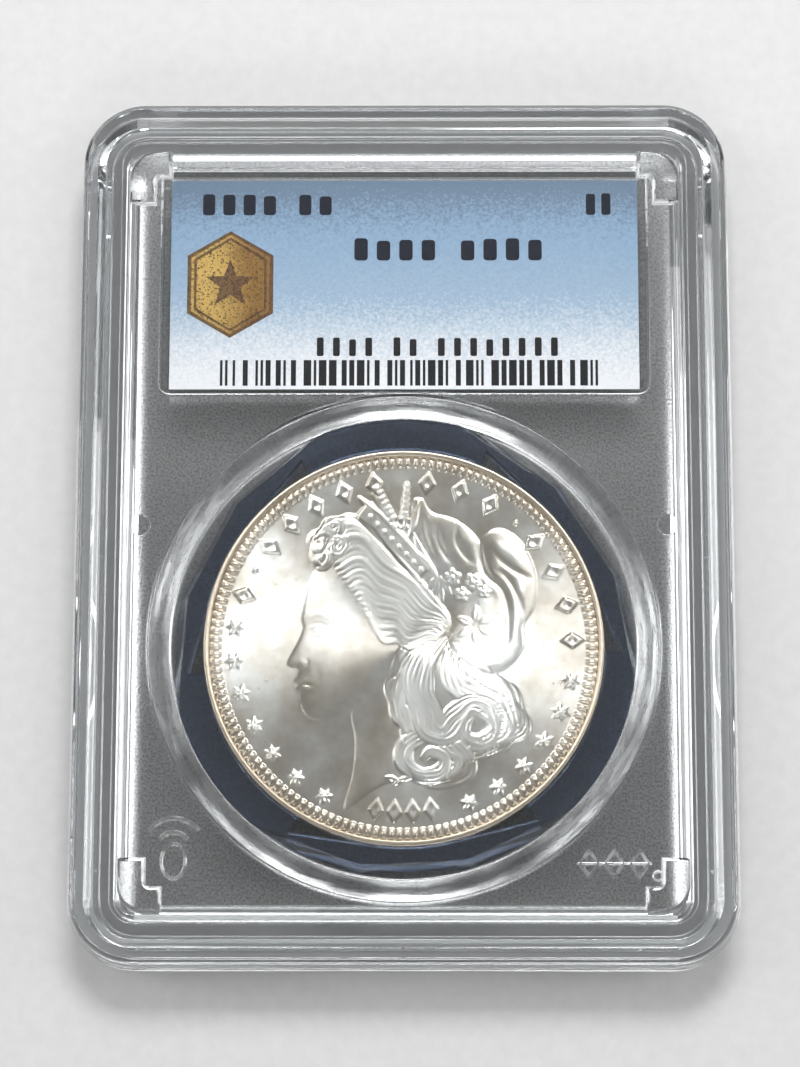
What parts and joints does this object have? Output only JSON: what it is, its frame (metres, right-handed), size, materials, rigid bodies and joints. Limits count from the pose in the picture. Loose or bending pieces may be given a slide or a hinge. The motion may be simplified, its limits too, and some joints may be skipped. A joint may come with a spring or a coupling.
{
  "type": "graded coin slab",
  "caption": "Clear sealed holder that frames a large silver coin in a spring insert below a printed label with a contactless chip.",
  "frame": {"origin": "middle of the plane of the rear foot that the slab lies on, below the middle of the slab", "axes": "+Z out of the slab's face, +Y towards the label, X across the slab's width"},
  "size_m": [0.063, 0.084, 0.008],
  "materials": {
    "clear_front": "clear polished windows in a finely grained panel",
    "clear_rear": "clear polished windows in a finely grained panel",
    "clear_insert": "clear, slightly blue, soft polish",
    "silver": "bright mint lustre with a little pale gold toning at the rim",
    "label_blue": "coated card, blue at the top that fades to white",
    "label_white": "coated card, pale",
    "gold_foil": "hot-stamped foil with a fine glitter",
    "diffraction_foil": "diffraction foil",
    "film": "polyester film",
    "copper_track": "etched track",
    "chip_black": "moulded"
  },
  "bodies": {
    "holder": {"front_shell": "clear_front", "rear_shell": "clear_rear", "coin_insert": "clear_insert", "front_label": "label_blue", "rear_label": "label_white", "emblem_foil": "gold_foil", "security_foil": "diffraction_foil", "nfc_film": "film", "nfc_antenna": "copper_track", "nfc_chip": "chip_black"},
    "coin": {"coin": "silver"}
  },
  "joints": [
    {"name": "coin_turn", "type": "hinge", "parent": "holder", "child": "coin", "pos_m": [0, -0.0115, 0.0039], "axis": [0, 0, 1], "continuous": true}
  ]
}
